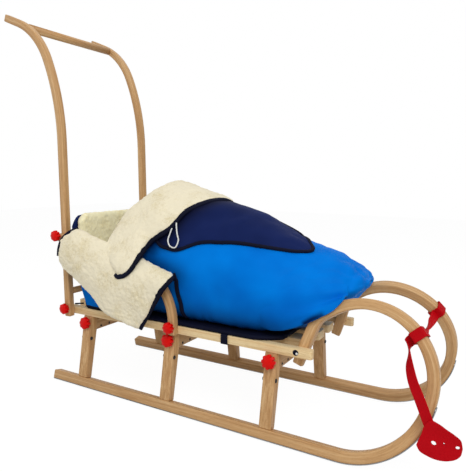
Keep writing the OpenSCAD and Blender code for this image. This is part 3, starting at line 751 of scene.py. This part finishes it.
# webbing round the horn: the loop of its section, carried along the bend for the webbing's width
def makeWrap(side, sign):
    line = bentLines["runner"]
    tangent = np.gradient(line, axis=0)
    tangent /= np.linalg.norm(tangent, axis=1, keepdims=True)
    turned = np.degrees(np.arctan2(tangent[:, 2], tangent[:, 0]))
    start = np.argmin(np.abs(turned - 90 - strap["turn"]) + 500 * (line[:, 0] < 0.45))
    along = tangent[start]
    out = np.array([0, -math.cos(horn["lean"]), math.sin(horn["lean"])])
    away = np.cross(along, out)
    mirror = np.array([1, -sign, 1])
    piece = band("strapWrap." + side, line[start] * mirror, along * mirror, out * mirror, away * mirror,
                 outlineOf(0.0272, 0.0252, 7, 64), strap["width"], strap["thick"], webbing, 0.1)
    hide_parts("strap_wrap_" + side)


for side, sign in sides.items():
    makeWrap(side, sign)

# hand pad: leaf between an upper and a lower edge, with punched holes
pad = {"place": -0.172, "upper": [(541, 82), (544, 92), (549, 106), (553, 122), (562, 134), (577, 131), (590, 124),
                                  (603, 117), (614, 108), (617, 96)],
       "lower": [(541, 82), (547, 73), (561, 68), (576, 66), (596, 69), (608, 75), (614, 82), (617, 96)],
       "holes": [(570, 95, 4.5), (587, 99, 1.8), (609, 96, 3.6)]}


def makePad():
    upper, lower = (smoothLine(np.array(pad[k]) / 1000, 116) for k in ("upper", "lower"))
    t = np.linspace(0, 1, 80)[None, :, None]
    flat = lower[:, None] + t * (upper - lower)[:, None]
    for x, z, r in pad["holes"]:
        d = flat - np.array([x, z]) / 1000
        far = np.linalg.norm(d, axis=2, keepdims=True)
        near = np.abs(far - r / 1000) < 0.0006
        flat = np.where(near, np.array([x, z]) / 1000 + d / np.maximum(far, 1e-9) * r / 1000, flat)
    bow = 0.004 * np.sin(np.pi * np.clip((flat[..., 0] - 0.541) / 0.076, 0, 1))
    p = np.stack([flat[..., 0], pad["place"] - bow, flat[..., 1]], -1)
    faces = gridFaces(np.arange(116 * 80).reshape(116, 80))
    centre = flat.reshape(-1, 2)[faces].mean(1)
    keep = np.ones(len(faces), bool)
    for x, z, r in pad["holes"]:
        keep &= np.linalg.norm(centre - np.array([x, z]) / 1000, axis=1) > r / 1000
    piece = makePiece("handPad", p, faces[keep], webbing)
    solid = piece.modifiers.new("thickness", "SOLIDIFY")
    solid.thickness, solid.offset = 0.0045, 0
    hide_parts("hand_pad")
    return piece


padPiece = makePad()
toCamera = [(0, -0.67, 0.18, 0.72), (0.1, -0.4, -0.2, 0.8), (0.2, 0.06, -0.56, 0.82), (0.36, 0.5, -0.4, 0.6),
            (0.6, 0.9, -0.3, 0.32), (1, 0.9, -0.15, 0.32)]
rightStrap, rightRoute = makeStrap("right", toCamera)
leftStrap, leftRoute = makeStrap("left", [(0, -0.68, 0, 0.73), (0.3, -0.2, 0, 0.98), (0.5, 0.6, 0, 0.8),
                                          (0.7, 0.95, 0, 0.3), (1, 0.68, 0, -0.73)])


print("pull strap made")


# Fasteners and small straps

# round heads in one piece: a profile of (radius, height) rows turned about the axis at each place; millimetres
def makeHeads(name, places, profile, material, around=24):
    r, h = np.array(profile)[:, :, None, None].transpose(1, 0, 2, 3) / 1000
    a = np.linspace(0, 2 * np.pi, around, endpoint=False)
    turn = np.stack([np.cos(a), np.sin(a)], 1)
    points, faces = [], []
    for i, (place, axis) in enumerate(places):
        u = np.cross(axis, (0.0, 0.6, 0.8))
        u /= np.linalg.norm(u)
        ring = turn @ np.stack([u, np.cross(axis, u)])
        points.append(np.array(place) / 1000 + r * ring + h * np.array(axis))
        number = np.arange(len(profile) * around).reshape(-1, around) + i * len(profile) * around
        faces += gridFaces(np.concatenate([number, number[:, :1]], 1))[:, ::-1].tolist()
        faces += [number[0][::-1].tolist(), number[-1].tolist()]
    makePiece(name, np.concatenate(points), faces, material)


legPlaces = (-301, -31, 235)
screw = [(3.1, -2), (3.1, 0.3), (2.5, 0.9), (1.2, 1.1), (1.0, 0.4), (0.05, 0.3)]
bolt = [(4.6, -2), (4.6, 1.2), (3.8, 2.2), (2.0, 2.8), (0.05, 3.0)]
holeShadow = [(6.4, -1), (6.4, 0.1), (5.8, 0.3), (4.4, 0.2), (0.05, 0.2)]
stud = [(2.6, -1), (2.6, 0.6), (2.1, 1.1), (0.05, 1.3)]
both = (-1, 1)
makeHeads("barScrews", [((x + 10, s * y, 154), (1, 0, 0)) for x in legPlaces for s in both for y in (79, 110)],
          screw, darkSteel)
makeHeads("legBolts", [((x + 14 * f, s * 150, 130), (f, 0, 0)) for x in legPlaces for s in both for f in both],
          bolt, darkSteel)
# a dark disc raised on each outer slat: painted shadow of a drilled hole, which is not cut
makeHeads("slatHoleShadows", [((291, s * 147, 198.5), (0, s, 0)) for s in both], holeShadow, tape)
# a small matte white stud in each hole, off its middle: the screw head, its white a painted highlight
makeHeads("slatStudHighlights", [((293.8, s * 147, 197), (0, s, 0)) for s in both], stud, cordWhite)

# screws up into the runners through the steel strips, spaced along the straight
lean = horn["lean"]
screwPlaces = np.linspace(0.05, 0.76, 6)
strips = [((1000 * x - 404, s * (180 - 12 * math.cos(lean)), 5.8 - 12 * math.sin(lean)),
           (0, s * math.sin(lean), -math.cos(lean))) for x in screwPlaces for s in both]
makeHeads("stripScrews", strips, [(4, -1), (4, 0.05), (3, 0.3), (1, 0.3), (0.05, 0.1)], darkSteel)

# black straps that tie the muff to the outer slats, and elastics at the handle feet
tie = {"place": (0.12, 0.1382, 0.1978), "size": (0.0205, 0.0205), "width": 0.017, "thick": 0.0016}
elastic = [(-346, -147.5, 215), (-345, -136, 213), (-342, -122, 211)]
for side, sign in sides.items():
    mirror = np.array([1, sign, 1])
    band("tieStrap." + side, np.array(tie["place"]) * mirror, np.array([1.0, 0, 0]), np.array([0, 1.0, 0]),
         np.array([0, 0, 1.0]), outlineOf(*tie["size"], 9, 64), tie["width"], tie["thick"], tape)
    line = smoothLine(np.array(elastic) / 1000 * np.array([1, -sign, 1]), 40)
    sweep("elastic." + side, line, np.tile([0.0, 0, 1], (40, 1)), outlineOf(0.004, 0.004, 2, 10), tape)

# white drawstring looped over the side of the muff
loop = [(-58, -88, 470), (-44, -98, 464), (-35, -115, 445), (-24, -127, 423), (-15, -135, 407), (-20, -141, 392),
        (-35, -140, 394), (-44, -136, 405), (-44, -127, 424), (-44, -113, 448), (-60, -98, 462)]
loopLine = smoothLine(np.array(loop) / 1000, 140)
drawCord = sweep("drawstring", loopLine, np.tile([0.0, -0.8, 0.6], (140, 1)), outlineOf(0.0034, 0.0034, 2, 10),
                 cordWhite)
print("fasteners and small straps made")


# Stage, light and camera

floor = bpy.data.objects.new("floor", bpy.data.meshes.new("floor"))
floor.data.from_pydata([(-6, -6, 0), (6, -6, 0), (6, 6, 0), (-6, 6, 0)], [], [(0, 1, 2, 3)])
bpy.context.scene.collection.objects.link(floor)
pale = bpy.data.materials.new("pale floor")
pale.use_nodes = True
tree = pale.node_tree
# white with a faint shadow where it is seen, grey where it only lights the sled from below
white = addNode(tree, "ShaderNodeEmission", {"Color": (1, 1, 1, 1), "Strength": 0.95})
faint = addNode(tree, "ShaderNodeBsdfDiffuse", {"Color": (0.09, 0.09, 0.09, 1)})
shown = addNode(tree, "ShaderNodeAddShader", {0: white.outputs[0], 1: faint.outputs[0]})
matte = addNode(tree, "ShaderNodeBsdfDiffuse", {"Color": (0.7, 0.7, 0.7, 1)})
blend = addNode(tree, "ShaderNodeMixShader", {0: seenRays(tree), 1: matte.outputs[0], 2: shown.outputs[0]})
tree.links.new(blend.outputs[0], tree.nodes["Material Output"].inputs["Surface"])
floor.data.materials.append(pale)

world = bpy.data.worlds.new("studio")
world.use_nodes = True
bpy.context.scene.world = world
tree = world.node_tree
sky = tree.nodes["Background"]
sky.inputs["Color"].default_value = (1, 1, 1, 1)
sky.inputs["Strength"].default_value = 0.38
backdrop = addNode(tree, "ShaderNodeBackground", {"Color": (1, 1, 1, 1), "Strength": 1.0})
blend = addNode(tree, "ShaderNodeMixShader", {0: seenRays(tree), 1: sky.outputs[0], 2: backdrop.outputs[0]})
tree.links.new(blend.outputs[0], tree.nodes["World Output"].inputs["Surface"])

lamps = {"key": {"at": (1.6, -1.7, 2.2), "size": 1.6, "power": 45},
         "fill": {"at": (-1.8, -1.6, 1.3), "size": 2.0, "power": 9},
         "top": {"at": (0.0, 0.6, 2.4), "size": 2.2, "power": 9}}
for name, lamp in lamps.items():
    light = bpy.data.lights.new(name, "AREA")
    light.size, light.energy = lamp["size"], lamp["power"]
    holder = bpy.data.objects.new(name, light)
    way = np.array((0, 0, 0.3)) - np.array(lamp["at"])
    yaw, pitch = math.atan2(-way[0], way[1]), math.atan2(way[2], math.hypot(way[0], way[1]))
    holder.matrix_world = (Matrix.Translation(lamp["at"]) @ Matrix.Rotation(yaw, 4, "Z")
                           @ Matrix.Rotation(math.pi / 2 + pitch, 4, "X"))
    bpy.context.scene.collection.objects.link(holder)

lens = bpy.data.cameras.new("camera")
lens.lens, lens.sensor_width = 39.05, 36.0
camera = bpy.data.objects.new("camera", lens)
camera.matrix_world = (Matrix.Translation((0.6878, -1.0954, 0.5651)) @ Matrix.Rotation(math.radians(30.04), 4, "Z")
                       @ Matrix.Rotation(math.radians(90 - 6.98), 4, "X")
                       @ Matrix.Rotation(math.radians(0.55), 4, "Z"))
bpy.context.scene.collection.objects.link(camera)
bpy.context.scene.camera = camera
bpy.context.scene.view_settings.view_transform = "Standard"
print("stage, light and camera set")
